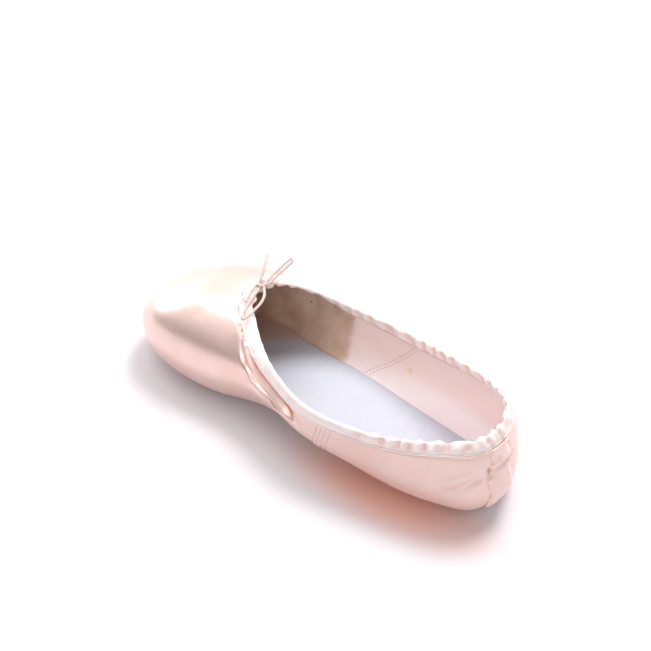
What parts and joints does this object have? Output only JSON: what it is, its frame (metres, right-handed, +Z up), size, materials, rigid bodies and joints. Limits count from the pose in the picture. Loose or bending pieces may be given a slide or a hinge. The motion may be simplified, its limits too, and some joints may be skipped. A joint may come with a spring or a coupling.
{
  "type": "pointe shoe",
  "caption": "Satin ballet pointe shoe with a stiff box, drawn-in drawstring collar tied in a small bow, and a short leather sole.",
  "frame": {"origin": "on the floor under the middle of the shoe's box, the bow left out", "axes": "+Z up, +Y from the heel to the toe, +X to the right seen from behind"},
  "size_m": [0.086, 0.2368, 0.0672],
  "materials": {
    "satin": "light pink corset satin over stiffened cotton canvas",
    "casing_satin": "light pink satin, folded and gathered",
    "leather": "buffed tan sole leather",
    "sock": "off-white smooth lining sheet",
    "cotton_cord": "pale pink cotton tape cord"
  },
  "bodies": {
    "root": {"upper": "satin", "collar_binding": "casing_satin", "heel_strip": "satin", "outsole": "leather", "insole": "sock", "bow_knot": "cotton_cord", "bow_loop_near": "cotton_cord", "bow_loop_far": "cotton_cord", "bow_end_near": "cotton_cord", "bow_end_far": "cotton_cord"}
  },
  "joints": []
}
